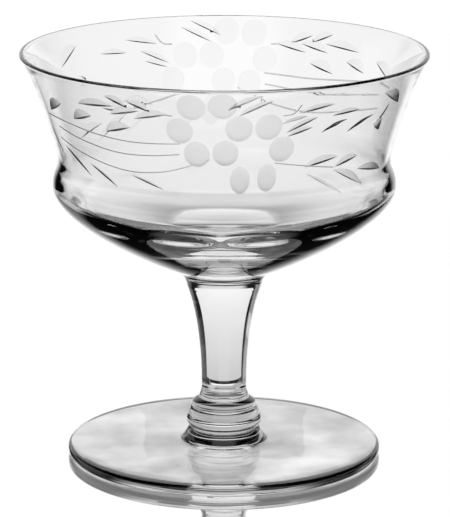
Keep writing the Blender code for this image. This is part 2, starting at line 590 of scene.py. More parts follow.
@dataclass
class Foot:
    """The round foot: a sloping disc with a short post in its middle and a shallow hollow under it."""

    radius: float = 37.0 * MM
    edge_thickness: float = 2.4 * MM
    edge_round: float = 1.0 * MM
    height: float = 6.3 * MM
    ring_width: float = 6.0 * MM
    hollow_depth: float = 0.5 * MM
    hollow_steps: int = 12
    slope_steps: int = 13
    post_radius: float = 8.2 * MM
    post_spread: float = 2.2 * MM
    post_rise: float = 3.1 * MM
    post_lead: float = 0.6
    post_hollow: float = 0.1
    post_hollow_slope: float = -135.0
    post_trail: float = 0.25

    def outline(self) -> Line:
        """Draws the foot.

        Returns:
            Points from the post's top edge, round the foot, to the middle of the underside.
        """
        post_top = point(self.post_radius, self.height)
        post_end = point(self.post_radius + self.post_spread, self.height - self.post_rise)
        edge = point(self.radius - self.edge_round, self.edge_thickness - self.edge_round)
        fall = post_end[1] - self.edge_thickness
        slope = math.degrees(math.atan2(fall, edge[0] - post_end[0]))
        low_round = min(self.edge_round, self.edge_thickness - self.edge_round)
        ring_inside = self.radius - low_round - self.ring_width
        shares = np.linspace(1.0, 0.0, self.hollow_steps + 1)
        bend = post_top + self.post_lead * (post_end - post_top)
        post = curve(
            post_top,
            bend + towards(self.post_hollow_slope, self.post_hollow * self.post_rise),
            post_end - towards(-slope, self.post_trail * self.post_spread),
            post_end,
            steps=16,
        )
        upper_round = arc(edge, self.edge_round, 90 - slope, 0, steps=8)
        return np.vstack(
            [
                post_top[None],
                post,
                np.linspace(post_end, upper_round[0], self.slope_steps + 1)[1:-1],
                upper_round,
                arc(point(self.radius - low_round, low_round), low_round, 0, -90, steps=8),
                np.column_stack([shares * ring_inside, self.hollow_depth * (1 - shares**2)]),
            ]
        )


@dataclass
class Button:
    """The button between the stem and the foot: a bell with fine ridges, drawn in at its lower edge."""

    height: float = 6.8 * MM
    radius: float = 8.85 * MM
    draw_in: float = 0.65 * MM
    edge_height: float = 1.3 * MM
    shoulder_radius: float = 7.6 * MM
    shoulder_height: float = 5.3 * MM
    top_radius: float = 5.8 * MM
    top_slope: float = -30.0
    top_lead: float = 0.5
    shoulder_slope: float = 110.0
    shoulder_trail: float = 0.4
    edge_lead: float = 0.6
    base_slope: float = 45.0
    base_trail: float = 0.5
    ridges: int = 3
    ridge_depth: float = 0.08 * MM
    ridge_steps: int = 8

    def outline(self) -> Line:
        """Draws the button.

        Returns:
            Points from its top edge to its bottom edge.
        """
        top = point(self.top_radius, self.height)
        shoulder = point(self.shoulder_radius, self.shoulder_height)
        edge = point(self.radius, self.edge_height)
        base = point(self.radius - self.draw_in, 0)
        share = np.linspace(0, 1, self.ridges * self.ridge_steps + 1)[1:, None]
        swell = self.ridge_depth * np.abs(np.sin(math.pi * self.ridges * share))
        upper = curve(
            top,
            top + towards(self.top_slope, self.top_lead * (shoulder[0] - top[0])),
            shoulder + towards(self.shoulder_slope, self.shoulder_trail * (top[1] - shoulder[1])),
            shoulder,
            steps=10,
        )
        lower = curve(
            edge,
            edge + towards(DOWN, self.edge_lead * self.edge_height),
            base + towards(self.base_slope, self.base_trail * self.draw_in),
            base,
            steps=10,
        )
        ridged = shoulder + (edge - shoulder) * share + swell * point(1, 0)
        return np.vstack([top[None], upper, ridged, lower])


@dataclass
class Stem:
    """The solid stem, drawn out narrow above its foot and widening into the bowl."""

    length: float = 26.6 * MM
    foot_radius: float = 5.8 * MM
    foot_trail: float = 0.3
    waist_radius: float = 5.28 * MM
    waist_height: float = 2.4 * MM
    waist_lead: float = 0.6
    waist_trail: float = 0.43
    head_radius: float = 8.6 * MM
    head_slope: float = 70.0
    head_lead: float = 0.25

    def outline(self) -> Line:
        """Draws the stem.

        Returns:
            Points from its head to its foot.
        """
        head = point(self.head_radius, self.length)
        waist = point(self.waist_radius, self.waist_height)
        foot = point(self.foot_radius, 0)
        shaft = self.length - self.waist_height
        upper = curve(
            head,
            head - towards(self.head_slope, self.head_lead * shaft),
            waist + towards(UP, self.waist_trail * shaft),
            waist,
            steps=40,
        )
        lower = curve(
            waist,
            waist + towards(DOWN, self.waist_lead * self.waist_height),
            foot + towards(UP, self.foot_trail * self.waist_height),
            foot,
            steps=10,
        )
        return np.vstack([head[None], upper, lower])


@dataclass
class Bowl:
    """The blown bowl: a waisted, flared wall over a thick heel that an optic mould has panelled inside."""

    height: float = 55.9 * MM
    neck_radius: float = 8.7 * MM
    neck_rise: float = 4.0 * MM
    neck_reach: float = 2.8 * MM
    neck_slope: float = 78.0
    neck_trail: float = 0.6
    underside_slope: float = 23.6
    underside_trail: float = 0.2
    underside_lead: float = 0.5
    bulge_radius: float = 40.05 * MM
    bulge_height: float = 24.5 * MM
    bulge_trail: float = 0.5
    bulge_lead: float = 0.38
    waist_radius: float = 38.7 * MM
    waist_height: float = 31.1 * MM
    waist_trail: float = 1 / 12
    waist_lead: float = 0.5
    rim_radius: float = 47.5 * MM
    rim_slope: float = 54.0
    rim_lead: float = 0.25
    rim_wall: float = 1.1 * MM
    waist_wall: float = 0.94 * MM
    bulge_wall: float = 1.56 * MM
    floor_radius: float = 13.2 * MM
    floor_corner_height: float = 11.8 * MM
    floor_slope: float = 11.4
    floor_height: float = 9.4 * MM
    floor_power: float = 2.2
    floor_steps: int = 32
    heel_lead: float = 0.13
    heel_trail: float = 0.58
    panels: int = 12
    panel_turn: float = 22.5
    panel_depth: float = 0.8
    panel_radius: float = 34.9 * MM
    panel_width: float = 1.5 * MM
    panel_softness: float = 0.5

    def outside(self) -> Line:
        """Draws the outer side.

        Returns:
            Points from the rim down to the neck.
        """
        rim = point(self.rim_radius, self.height - self.rim_wall / 2)
        waist = point(self.waist_radius, self.waist_height)
        bulge = point(self.bulge_radius, self.bulge_height)
        neck = point(self.neck_radius, 0)
        underside = neck + point(self.neck_reach, self.neck_rise)
        flare = rim[1] - waist[1]
        swell = waist[1] - bulge[1]
        below = bulge[1] - underside[1]
        slope = self.underside_slope
        flared = curve(
            rim,
            rim - towards(self.rim_slope, self.rim_lead * flare),
            waist + towards(UP, self.waist_trail * flare),
            waist,
            steps=40,
        )
        swollen = curve(
            waist,
            waist + towards(DOWN, self.waist_lead * swell),
            bulge + towards(UP, self.bulge_trail * swell),
            bulge,
            steps=16,
        )
        rounded = curve(
            bulge,
            bulge + towards(DOWN, self.bulge_lead * below),
            underside + towards(slope, self.underside_trail * below),
            underside,
            steps=36,
        )
        drawn_in = curve(
            underside,
            underside - towards(slope, self.underside_lead * self.neck_reach),
            neck + towards(self.neck_slope, self.neck_trail * self.neck_rise),
            neck,
            steps=10,
        )
        return np.vstack([rim[None], flared, swollen, rounded, drawn_in])

    def inside(self, outside: Line) -> Line:
        """Draws the inner side.

        Args:
            outside: The outer side, from the rim down.

        Returns:
            Points from the rim down to the middle of the floor.
        """
        upper = outside[1:][outside[1:, 1] >= self.bulge_height]
        heights = (self.bulge_height, self.waist_height, self.height)
        wall = np.interp(upper[:, 1], heights, (self.bulge_wall, self.waist_wall, self.rim_wall))
        line = upper - np.column_stack([wall, np.zeros(len(wall))])
        corner = point(self.floor_radius, self.floor_corner_height)
        reach = np.linalg.norm(line[-1] - corner)
        heel = curve(
            line[-1],
            line[-1] + towards(DOWN, self.heel_lead * reach),
            corner + towards(self.floor_slope, self.heel_trail * reach),
            corner,
            steps=28,
        )
        share = np.linspace(1, 0, self.floor_steps + 1)[1:]
        rise = (corner[1] - self.floor_height) * share**self.floor_power
        return np.vstack([line, heel, np.column_stack([share * corner[0], self.floor_height + rise])])

    def shares(self, inside: Line) -> np.ndarray:
        """How far the optic mould presses each point of the inner side.

        Args:
            inside: The inner side, from the rim down.

        Returns:
            The shares, greatest on the heel.
        """
        ring = np.exp(-(((inside[:, 0] - self.panel_radius) / self.panel_width) ** 2))
        below = (self.waist_height - inside[:, 1]) / (self.waist_height - self.bulge_height)
        return self.panel_depth * ring * smoothstep(below)

    def outline(self) -> tuple[Line, np.ndarray]:
        """Draws the bowl.

        Returns:
            Points from the middle of the floor, over the rim, to the neck, and their shares in the panels.
        """
        outside = self.outside()
        inside = self.inside(outside)
        lip = arc(outside[0] - point(self.rim_wall / 2, 0), self.rim_wall / 2, 180, 0, steps=12)
        line = np.vstack([inside[::-1], lip, outside[1:]])
        shares = np.zeros(len(line))
        shares[: len(inside)] = self.shares(inside)[::-1]
        return line, shares

    def press(self, piece: bpy.types.Object) -> None:
        """Presses the optic mould's soft-cornered panels into the inner side.

        Args:
            piece: The turned bowl, which has the attribute pressed.
        """
        turn = math.radians(self.panel_turn)
        sizes = {"Panels": self.panels, "Turn": turn, "Softness": self.panel_softness}
        kit = GeometryTree("optic_mould", sizes)
        x, y, z = kit.separate(kit.add("GeometryNodeInputPosition").outputs[0])
        half = kit.math("DIVIDE", math.pi, kit.input("Panels"))
        angle = kit.math("SUBTRACT", kit.math("ARCTAN2", y, x), kit.input("Turn"))
        off = kit.math("WRAP", kit.math("ADD", angle, half), half, kit.math("MULTIPLY", half, -1.0))
        least = kit.math("COSINE", half)
        flat = kit.math("SUBTRACT", kit.math("DIVIDE", least, kit.math("COSINE", off)), 1.0)
        ripple = kit.math("COSINE", kit.math("MULTIPLY", off, kit.input("Panels")))
        ripple = kit.math("MULTIPLY_ADD", ripple, 0.5, 0.5)
        wave = kit.math("MULTIPLY", kit.math("SUBTRACT", least, 1.0), ripple)
        change = kit.math("MULTIPLY_ADD", kit.math("SUBTRACT", wave, flat), kit.input("Softness"), flat)
        scale = kit.math("MULTIPLY_ADD", kit.attribute("pressed", "FLOAT"), change, 1.0)
        pressed = kit.combine(kit.math("MULTIPLY", x, scale), kit.math("MULTIPLY", y, scale), z)
        bowl = kit.input("Geometry")
        kit.apply(piece, kit.made("GeometryNodeSetPosition", Geometry=bowl, Position=pressed))


class Wheel(Enum):
    """The stone wheels of the cutter."""

    MITRE = 0
    ROUND = 1


@dataclass(frozen=True)
class Cut:
    """One touch of a wheel, on the bowl's wall rolled out flat.

    The place is in metres along the girth and above the table, the turn is in degrees, and the size is
    the cut's length, width and depth.
    """

    wheel: Wheel
    place: Place
    turn: float
    size: Triple


@dataclass(frozen=True)
class MitreWheel:
    """A wheel with a bevelled edge, which leaves a leaf with a steep and a shallow side."""

    steep: float = 0.15
    clear: float = 1.0
    reach: float = 0.98
    stations: int = 17

    def cutter(self) -> bpy.types.Object:
        """Makes the shape that the wheel takes out, 1 long, 1 wide and 1 deep.

        Returns:
            The shape, with its lowest line along X.
        """
        along = np.linspace(-self.reach, self.reach, self.stations)
        depth = 1.0 - along**2
        zero = np.zeros(self.stations)
        high = np.full(self.stations, self.clear)
        shallow, steep = (1 - self.steep) * depth, -self.steep * depth
        section = ((zero, -depth), (shallow, zero), (shallow, high), (steep, high), (steep, zero))
        rows = np.stack([np.column_stack([along / 2, across, up]) for across, up in section], axis=1)
        index = ring_index(self.stations, len(section))
        sides = ring_faces(index)[:, TURNED_OVER].tolist()
        ends = [index[0, ::-1].tolist(), index[-1].tolist()]
        return link("mitre_wheel", new_mesh("mitre_wheel", rows.reshape(-1, 3).tolist(), sides + ends))


@dataclass(frozen=True)
class RoundWheel:
    """A wheel with a rounded edge, which leaves a petal that is flat but for its rim."""

    flatness: float = 5.0
    clear: float = 1.0
    rings: int = 8
    segments: int = 40

    def cutter(self) -> bpy.types.Object:
        """Makes the shape that the wheel takes out, 1 long, 1 wide and 1 deep.

        Returns:
            The shape, with its lowest point below the origin.
        """
        radii = np.append(np.linspace(0, 1, self.rings + 1)[1:], 1.0)
        heights = radii**self.flatness - 1
        heights[-1] = self.clear
        places = ring_points(radii / 2, heights, self.segments).reshape(-1, 3).tolist()
        index = ring_index(len(radii), self.segments)
        faces = ring_faces(index)[:, TURNED_OVER].tolist() + [index[-1].tolist()]
        faces += [(index.size, b, a) for a, b in zip(index[0], np.roll(index[0], -1))]
        return link("round_wheel", new_mesh("round_wheel", places + [(0, 0, -1)], faces))


@dataclass(frozen=True)
class Flower:
    """A flower of round petals about a plain middle.

    The middle is in degrees along the girth and millimetres above the table, and full is the number of
    petals of a whole flower.
    """

    middle: Place
    petals: Sequence[int]
    full: int = 6
    pitch: float = 6.6
    turn: float = 3.0
    petal: Triple = (6.1, 6.1, 0.15)
    drop: float = 0.0

    def cuts(self, girth: float) -> list[Cut]:
        """The petals' cuts.

        Args:
            girth: Millimetres of the girth to a degree.

        Returns:
            One round cut for each petal.
        """
        cuts = []
        for number in self.petals:
            step = towards(self.turn + 360 / self.full * number, self.pitch)
            place = ((self.middle[0] * girth + step[0]) * MM, (self.middle[1] + step[1] - self.drop) * MM)
            cuts.append(Cut(Wheel.ROUND, place, 0.0, tuple(part * MM for part in self.petal)))
        return cuts


@dataclass(frozen=True)
class Spray:
    """Leaves along a stem, each from its root to its tip, in degrees along the girth and millimetres up."""

    leaves: Sequence[tuple[Place, Place]]
    width: float = 1.9
    depth: float = 0.3
    overrun: float = 1.14

    def cuts(self, girth: float) -> list[Cut]:
        """The leaves' cuts.

        Args:
            girth: Millimetres of the girth to a degree.

        Returns:
            One mitre cut for each leaf, with its shallow side upwards.
        """
        cuts = []
        for root, tip in self.leaves:
            across, up = (tip[0] - root[0]) * girth, tip[1] - root[1]
            if across < 0:
                across, up = -across, -up
            place = ((root[0] + tip[0]) / 2 * girth * MM, (root[1] + tip[1]) / 2 * MM)
            length = math.hypot(across, up) * self.overrun
            size = (length * MM, self.width * MM, self.depth * MM)
            cuts.append(Cut(Wheel.MITRE, place, math.degrees(math.atan2(up, across)), size))
        return cuts


@dataclass
class Engraving:
    """The flower sprays that a cutter has put on the bowl with stone wheels, the same on both sides."""

    facing: float = -66.0
    copies: int = 2
    roll_radius: float = 43.0 * MM
    crease_angle: float = 28.0
    line_width: float = 0.28 * MM
    line_sides: int = 6
    line_steps: int = 10
    flowers: Sequence[Flower] = (
        Flower((-4.5, 86.8), (0, 1, 2, 3, 4, 5)),
        Flower((9.0, 81.5), (0, 1)),
        Flower((9.0, 81.5), (4, 5), petal=(4.8, 6.6, 0.15), drop=0.9),
    )
    sprays: Sequence[Spray] = (
        Spray(
            (
                ((-22, 90.7), (-28, 92.5)),
                ((-29, 91.2), (-35, 93.2)),
                ((-17, 90.2), (-26.5, 88.7)),
                ((-25.5, 90.5), (-34.5, 89.1)),
                ((-34, 91), (-46.5, 90.3)),
            ),
        ),
        Spray(
            (
                ((27, 77), (38, 78.4)),
                ((39, 76.1), (47.5, 77.6)),
                ((50.5, 74.2), (65, 72.4)),
                ((39, 75), (52.5, 70.6)),
            ),
        ),
        Spray(
            (
                ((1.5, 91.9), (10, 95)),
                ((4.5, 90.4), (13, 93.6)),
                ((19, 85.9), (27.5, 88.8)),
                ((19.5, 84.9), (26.5, 86.5)),
                ((22.5, 90.4), (32, 91.7)),
                ((33.5, 88.9), (42.5, 89.4)),
            ),
            width=1.3,
        ),
        Spray(
            (
                ((-75, 82), (-67, 74.5)),
                ((-64.5, 78.2), (-50.5, 72.3)),
                ((-50, 75.5), (-38, 71)),
                ((-32, 74.6), (-20, 71.7)),
                ((27, 75.4), (43, 69.2)),
            ),
            width=0.75,
            depth=0.32,
            overrun=1.0,
        ),
        Spray(
            (
                ((-66, 86.2), (-57, 88.8)),
                ((-51.5, 86), (-43.5, 87.6)),
                ((-38, 84.6), (-29.5, 86.2)),
                ((52.5, 84.6), (56, 83)),
                ((53, 92), (63, 88.6)),
            ),
            width=2.4,
            depth=0.35,
        ),
    )
    lines: Sequence[Sequence[Place]] = (
        ((-70, 84.7), (-58.5, 84.5), (-41.5, 83.3), (-30, 82.8), (-20, 83), (-13.5, 83.3)),
        ((-64, 82.5), (-47.5, 80.7), (-35, 79.7), (-24, 79.9), (-14, 80.7)),
        ((-66, 79.6), (-49.5, 77.2), (-38.5, 75.9), (-32.5, 75.5), (-26.5, 75.6), (-18, 76.5), (-4.5, 79.7)),
        ((16, 78.6), (25, 77.5), (38, 76)),
        ((-15, 90), (-21, 90.5)),
        ((17, 90), (20, 90.4), (22, 92.4)),
    )

    def girth(self) -> float:
        """Millimetres of the rolled-out wall to a degree."""
        return math.radians(1.0) * self.roll_radius / MM

    def starts(self) -> list[float]:
        """Where each copy of the sprays starts along the rolled-out wall."""
        return [2 * math.pi * number / self.copies * self.roll_radius for number in range(self.copies)]

    def layout(self) -> bpy.types.Object:
        """Lays the cuts out on the rolled-out wall.

        Returns:
            A point for each cut, with its wheel, turn and size as attributes.
        """
        group = [cut for part in (*self.flowers, *self.sprays) for cut in part.cuts(self.girth())]
        cuts = [(start, cut) for start in self.starts() for cut in group]
        mesh = new_mesh("cuts", [(start + cut.place[0], cut.place[1], 0) for start, cut in cuts], [])
        wheel = mesh.attributes.new("wheel", "INT", "POINT")
        wheel.data.foreach_set("value", [cut.wheel.value for _, cut in cuts])
        turn = mesh.attributes.new("turn", "FLOAT", "POINT")
        turn.data.foreach_set("value", [math.radians(cut.turn) for _, cut in cuts])
        size = mesh.attributes.new("size", "FLOAT_VECTOR", "POINT")
        size.data.foreach_set("vector", [part for _, cut in cuts for part in cut.size])
        return link("cuts", mesh)

    def threads(self) -> bpy.types.Object:
        """Lays the thin lines out on the rolled-out wall.

        Returns:
            A curve with a soft spline for each line.
        """
        data = bpy.data.curves.new("threads", "CURVE")
        data.dimensions = "3D"
        data.resolution_u = self.line_steps
        for start in self.starts():
            for line in self.lines:
                spline = data.splines.new("BEZIER")
                spline.bezier_points.add(len(line) - 1)
                for knot, (across, up) in zip(spline.bezier_points, line):
                    knot.co = (start + across * self.girth() * MM, up * MM, 0)
                    knot.handle_left_type = "AUTO"
                    knot.handle_right_type = "AUTO"
        return link("threads", data)

    @staticmethod
    def wrap(kit: GeometryTree, flat: Socket) -> Socket:
        """Lays rolled-out shapes on the uncut bowl's outer side.

        Args:
            kit: The tree.
            flat: The shapes, with the wall's outer face at height 0.

        Returns:
            The shapes on the bowl.
        """
        across, up, out = kit.separate(kit.add("GeometryNodeInputPosition").outputs[0])
        angle = kit.math("DIVIDE", across, kit.input("Roll Radius"))
        angle = kit.math("ADD", angle, kit.input("Facing"))
        outward = kit.combine(kit.math("COSINE", angle), kit.math("SINE", angle), 0.0)
        reach = kit.math("MULTIPLY", kit.input("Roll Radius"), 2.0)
        start = kit.vector("ADD", kit.vector("SCALE", outward, reach), kit.combine(0.0, 0.0, up))
        ray = kit.fill(
            kit.add("GeometryNodeRaycast"),
            Target_Geometry=kit.input("Geometry"),
            Source_Position=start,
            Ray_Direction=kit.vector("SCALE", outward, -1.0),
            Ray_Length=reach,
        )
        lift = kit.vector("SCALE", ray.outputs["Hit Normal"], out)
        place = kit.vector("ADD", ray.outputs["Hit Position"], lift)
        return kit.made("GeometryNodeSetPosition", Geometry=flat, Position=place)

    @staticmethod
    def shapes(kit: GeometryTree) -> Socket:
        """Sets the wheels' shapes on the laid-out points.

        Args:
            kit: The tree.

        Returns:
            The rolled-out shapes, as one mesh.
        """
        points = kit.shape("Cuts")
        turn = kit.combine(0.0, 0.0, kit.attribute("turn", "FLOAT"))
        joined = kit.add("GeometryNodeJoinGeometry")
        for wheel, label in ((Wheel.MITRE, "Mitre Wheel"), (Wheel.ROUND, "Round Wheel")):
            chosen = kit.add("FunctionNodeCompare", data_type="INT", operation="EQUAL")
            kit.feed(chosen.inputs[2], kit.attribute("wheel", "INT"))
            kit.feed(chosen.inputs[3], wheel.value)
            placed = kit.made(
                "GeometryNodeInstanceOnPoints",
                Points=points,
                Selection=chosen.outputs[0],
                Instance=kit.shape(label),
                Rotation=kit.made("FunctionNodeEulerToRotation", Euler=turn),
                Scale=kit.attribute("size", "FLOAT_VECTOR"),
            )
            kit.feed(joined.inputs[0], placed)
        return kit.made("GeometryNodeRealizeInstances", Geometry=joined.outputs[0])

    @staticmethod
    def take_out(kit: GeometryTree, body: Socket, tool: Socket) -> Socket:
        """Takes shapes out of the bowl and marks what they leave with the attribute grey.

        Args:
            kit: The tree.
            body: The bowl.
            tool: The shapes on the bowl.

        Returns:
            The cut bowl.
        """
        store = kit.add("GeometryNodeStoreNamedAttribute", data_type="BOOLEAN", domain="FACE")
        marked = kit.fill(store, Geometry=tool, Name="grey", Value=True).outputs[0]
        cut = kit.add("GeometryNodeMeshBoolean", operation="DIFFERENCE", solver="MANIFOLD")
        return kit.fill(cut, Mesh_1=body, Mesh_2=marked).outputs["Mesh"]

    def apply(self, piece: bpy.types.Object, finish: bpy.types.Material) -> None:
        """Cuts the sprays into the bowl.

        Args:
            piece: The bowl.
            finish: The finish that the wheels leave.
        """
        helpers = {
            "Cuts": self.layout(),
            "Threads": self.threads(),
            "Mitre Wheel": MitreWheel().cutter(),
            "Round Wheel": RoundWheel().cutter(),
        }
        sizes = {
            "Roll Radius": self.roll_radius,
            "Facing": math.radians(self.facing),
            "Line Width": self.line_width,
        }
        kit = GeometryTree("wheel_cutting", {**helpers, **sizes, "Grey Cut": finish})
        body = self.take_out(kit, kit.input("Geometry"), self.wrap(kit, self.shapes(kit)))
        radius = kit.math("MULTIPLY", kit.input("Line Width"), 0.5)
        section = kit.made("GeometryNodeCurvePrimitiveCircle", Resolution=self.line_sides, Radius=radius)
        grooves = kit.made(
            "GeometryNodeCurveToMesh", Curve=kit.shape("Threads"), Profile_Curve=section, Fill_Caps=True
        )
        body = self.take_out(kit, body, self.wrap(kit, grooves))
        dressed = kit.made(
            "GeometryNodeSetMaterial",
            Geometry=kit.made("GeometryNodeRealizeInstances", Geometry=body),
            Selection=kit.attribute("grey", "BOOLEAN"),
            Material=kit.input("Grey Cut"),
        )
        kit.apply(piece, dressed)
        crease(piece.data, self.crease_angle)
        for helper in helpers.values():
            bpy.data.objects.remove(helper)


@dataclass
class SherbetGlass:
    """The whole glass: four pieces stuck together hot, and the cutting on its bowl."""

    foot: Foot = field(default_factory=Foot)
    button: Button = field(default_factory=Button)
    stem: Stem = field(default_factory=Stem)
    bowl: Bowl = field(default_factory=Bowl)
    engraving: Engraving = field(default_factory=Engraving)
    glass: ClearGlass = ClearGlass()
    foot_glass: ClearGlass = ClearGlass(ring_scale=70.0, ring_stretch=1.0, ring_depth=0.1 * MM)
    grey: GreyCut = GreyCut()
    weld: WeldFace = WeldFace()

    @staticmethod
    def seam(upper: Line, lower: Line) -> Line:
        """The ring where two pieces meet, and the axis at the same height."""
        ring = (upper[-1] + lower[0]) / 2
        return np.array([ring, [0.0, ring[1]]])

    def turned(self) -> list[Turned]:
        """Draws the four pieces one above another.

        Returns:
            The pieces from the foot up.
        """
        foot = self.foot.outline()
        base = self.foot.height + WELD_GAP
        button = self.button.outline() + point(0, base)
        base += self.button.height + WELD_GAP
        stem = self.stem.outline() + point(0, base)
        base += self.stem.length + WELD_GAP
        bowl, shares = self.bowl.outline()
        bowl = bowl + point(0, base)
        low = self.seam(button, foot)
        middle = self.seam(stem, button)
        high = self.seam(bowl, stem)
        return [
            Turned("foot", np.vstack([low[::-1], foot]), top=End.WELD),
            Turned("button", np.vstack([middle[::-1], button, low]), End.WELD, End.WELD),
            Turned("stem", np.vstack([high[::-1], stem, middle]), End.WELD, End.WELD),
            Turned("bowl", np.vstack([bowl, high]), bottom=End.WELD, pressed=np.append(shares, [0, 0])),
        ]

    def build(self) -> list[bpy.types.Object]:
        """Makes the four pieces, cuts the bowl, hangs each piece under the root body and hides the imported
        part that it stands for.

        Returns:
            The finished pieces.
        """
        clear = self.glass.material()
        wavy = self.foot_glass.material()
        weld = self.weld.material()
        grey = self.grey.material()
        pieces = []
        for turned in self.turned():
            mesh = turned.mesh()
            mesh.materials.append(wavy if turned.name == "foot" else clear)
            mesh.materials.append(weld)
            piece = link(turned.name + "_glass", mesh)
            if turned.pressed is not None:
                self.bowl.press(piece)
                self.engraving.apply(piece, grey)
            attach(piece, "root")
            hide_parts(turned.name)
            log.info("%s: %d faces", piece.name, len(piece.data.polygons))
            pieces.append(piece)
        return pieces


@dataclass
class PhotoCamera:
    """The camera that took the picture, fitted to the rim's and the foot's ellipses."""

    azimuth: float = 24.0
    distance: float = 756.3 * MM
    height: float = 238.85 * MM
    target_height: float = 47.0 * MM
    roll: float = 0.1
    focal_px: float = 3319.6
    centre_px: Place = (224.2, 258.0)
    frame_px: tuple[int, int] = (450, 517)
    sensor: float = 36.0
    nearest: float = 10.0 * MM

    def heading(self) -> tuple[Vector, Vector]:
        """The level directions ahead of the camera and to its right."""
        angle = math.radians(self.azimuth)
        return Vector((-math.sin(angle), math.cos(angle), 0)), Vector((math.cos(angle), math.sin(angle), 0))

    def build(self) -> bpy.types.Object:
        """Makes the camera and gives it to the scene.

        Returns:
            The camera.
        """
        ahead, right = self.heading()
        place = ahead * -self.distance + Vector((0, 0, self.height))
        look = (Vector((0, 0, self.target_height)) - place).normalized()
        up = right.cross(look)
        roll = math.radians(self.roll)
        side = right * math.cos(roll) + up * math.sin(roll)
        over = up * math.cos(roll) - right * math.sin(roll)
        data = bpy.data.cameras.new("photo_camera")
        data.sensor_width = self.sensor
        long_side = max(self.frame_px)
        data.lens = self.focal_px * self.sensor / long_side
        data.shift_x = (self.frame_px[0] / 2 - self.centre_px[0]) / long_side
        data.shift_y = (self.centre_px[1] - self.frame_px[1] / 2) / long_side
        data.clip_start = self.nearest
        camera = link("photo_camera", data)
        camera.matrix_world = Matrix.Translation(place) @ Matrix((side, over, -look)).transposed().to_4x4()
        bpy.context.scene.camera = camera
        return camera


@dataclass(frozen=True)
class Window:
    """A soft white panel of the studio, in degrees right of the camera's heading and above the level.

    Its left and right edges are soft degrees wide, and its low and high ones fade degrees.
    """

    left: float
    right: float
    low: float
    high: float
    strength: float
    soft: float
    fade: float


@dataclass
class Studio:
    """A dim room with soft white panels: the glass is lit from behind and its edges stay dark.

    Light that the glass has turned back more than a few times fades, as it does in real glass. What the
    glass and the table mirror from above the level is white, apart from the room's two sides.
    """

    camera: PhotoCamera
    gloom: float = 0.012
    half_turns: float = 5.5
    soft_turns: float = 6.0
    sides_from: float = 35.0
    sides_to: float = 140.0
    sides_soft: float = 20.0
    sides_low: float = 10.0
    sides_fade: float = 6.0
    # Two panels behind the glass, two behind the camera, one below, two to the left and one low at the back
    windows: Sequence[Window] = (
        Window(-21.4, 28.6, -30.5, 11.0, 1.0, 13.3, 17.0),
        Window(-24.4, 31.6, 0, 31.7, 0.73, 13.3, 12.0),
        Window(150, 210, -32.7, 40.5, 0.43, 10.0, 10.0),
        Window(150, 210, -22.0, 5.0, 0.9, 10.0, 6.0),
        Window(-200, 200, -100.0, -66.0, 0.75, 10.0, 8.0),
        Window(-84, -48, -5.0, 4.5, 0.8, 10.0, 3.0),
        Window(-84, -48, -24.0, 24.0, 0.4, 10.0, 12.0),
        Window(-46, -12, -34.0, -18.0, 0.65, 12.0, 8.0),
    )

    @staticmethod
    def panel(kit: NodeKit, window: Window, bearing: Socket, rise: Socket) -> Socket:
        """Adds one panel.

        Args:
            kit: The world's kit.
            window: The panel.
            bearing: Degrees right of the camera's heading.
            rise: Degrees above the level.

        Returns:
            The panel's light.
        """
        across = kit.band(bearing, window.left, window.right, window.soft)
        if window.right > 180:
            round_again = kit.math("ADD", bearing, 360.0)
            again = kit.band(round_again, window.left, window.right, window.soft)
            across = kit.math("MAXIMUM", across, again)
        light = kit.math("MULTIPLY", across, kit.band(rise, window.low, window.high, window.fade))
        return kit.math("MULTIPLY", light, window.strength)

    def dark_sides(self, kit: NodeKit, bearing: Socket, rise: Socket) -> Socket:
        """Adds the two sides of the room that don't mirror white.

        Args:
            kit: The world's kit.
            bearing: Degrees right of the camera's heading.
            rise: Degrees above the level.

        Returns:
            A socket that is 1 at the sides and 0 elsewhere.
        """
        wide = kit.band(bearing, -self.sides_to, self.sides_to, self.sides_soft)
        ahead = kit.band(bearing, -self.sides_from, self.sides_from, self.sides_soft)
        above = kit.ramp(rise, self.sides_low, self.sides_fade)
        return kit.math("MULTIPLY", kit.math("SUBTRACT", wide, ahead), above)

    def build(self) -> bpy.types.World:
        """Makes the room.

        Returns:
            The world, white behind the glass and in the floor's mirror image.
        """
        world = bpy.data.worlds.new("studio")
        bpy.context.scene.world = world
        world.use_nodes = True
        world.node_tree.nodes.clear()
        kit = NodeKit(world.node_tree)
        direction = kit.add("ShaderNodeTexCoord").outputs["Generated"]
        ahead, right = self.camera.heading()
        along = kit.vector("DOT_PRODUCT", direction, ahead)
        across = kit.vector("DOT_PRODUCT", direction, right)
        up = kit.separate(direction)[2]
        bearing = kit.math("DEGREES", kit.math("ARCTAN2", across, along))
        rise = kit.math("DEGREES", kit.math("ARCSINE", up))
        total = self.gloom
        for window in self.windows:
            total = kit.math("MAXIMUM", total, self.panel(kit, window, bearing, rise))
        path = kit.add("ShaderNodeLightPath").outputs
        lost = kit.ramp(path["Glossy Depth"], self.half_turns, self.soft_turns)
        total = kit.math("MULTIPLY", total, kit.math("SUBTRACT", 1.0, lost))
        outside = kit.math("LESS_THAN", path["Transmission Depth"], 1.0)
        mirrored = kit.math("MULTIPLY", path["Is Glossy Ray"], kit.math("GREATER_THAN", up, 0.0))
        mirrored = kit.math("SUBTRACT", mirrored, self.dark_sides(kit, bearing, rise))
        white = kit.math("MAXIMUM", path["Is Camera Ray"], kit.math("MULTIPLY", mirrored, outside))
        light = kit.made("ShaderNodeBackground", Color=kit.math("MAXIMUM", white, total))
        kit.fill(kit.add("ShaderNodeOutputWorld"), Surface=light)
        return world


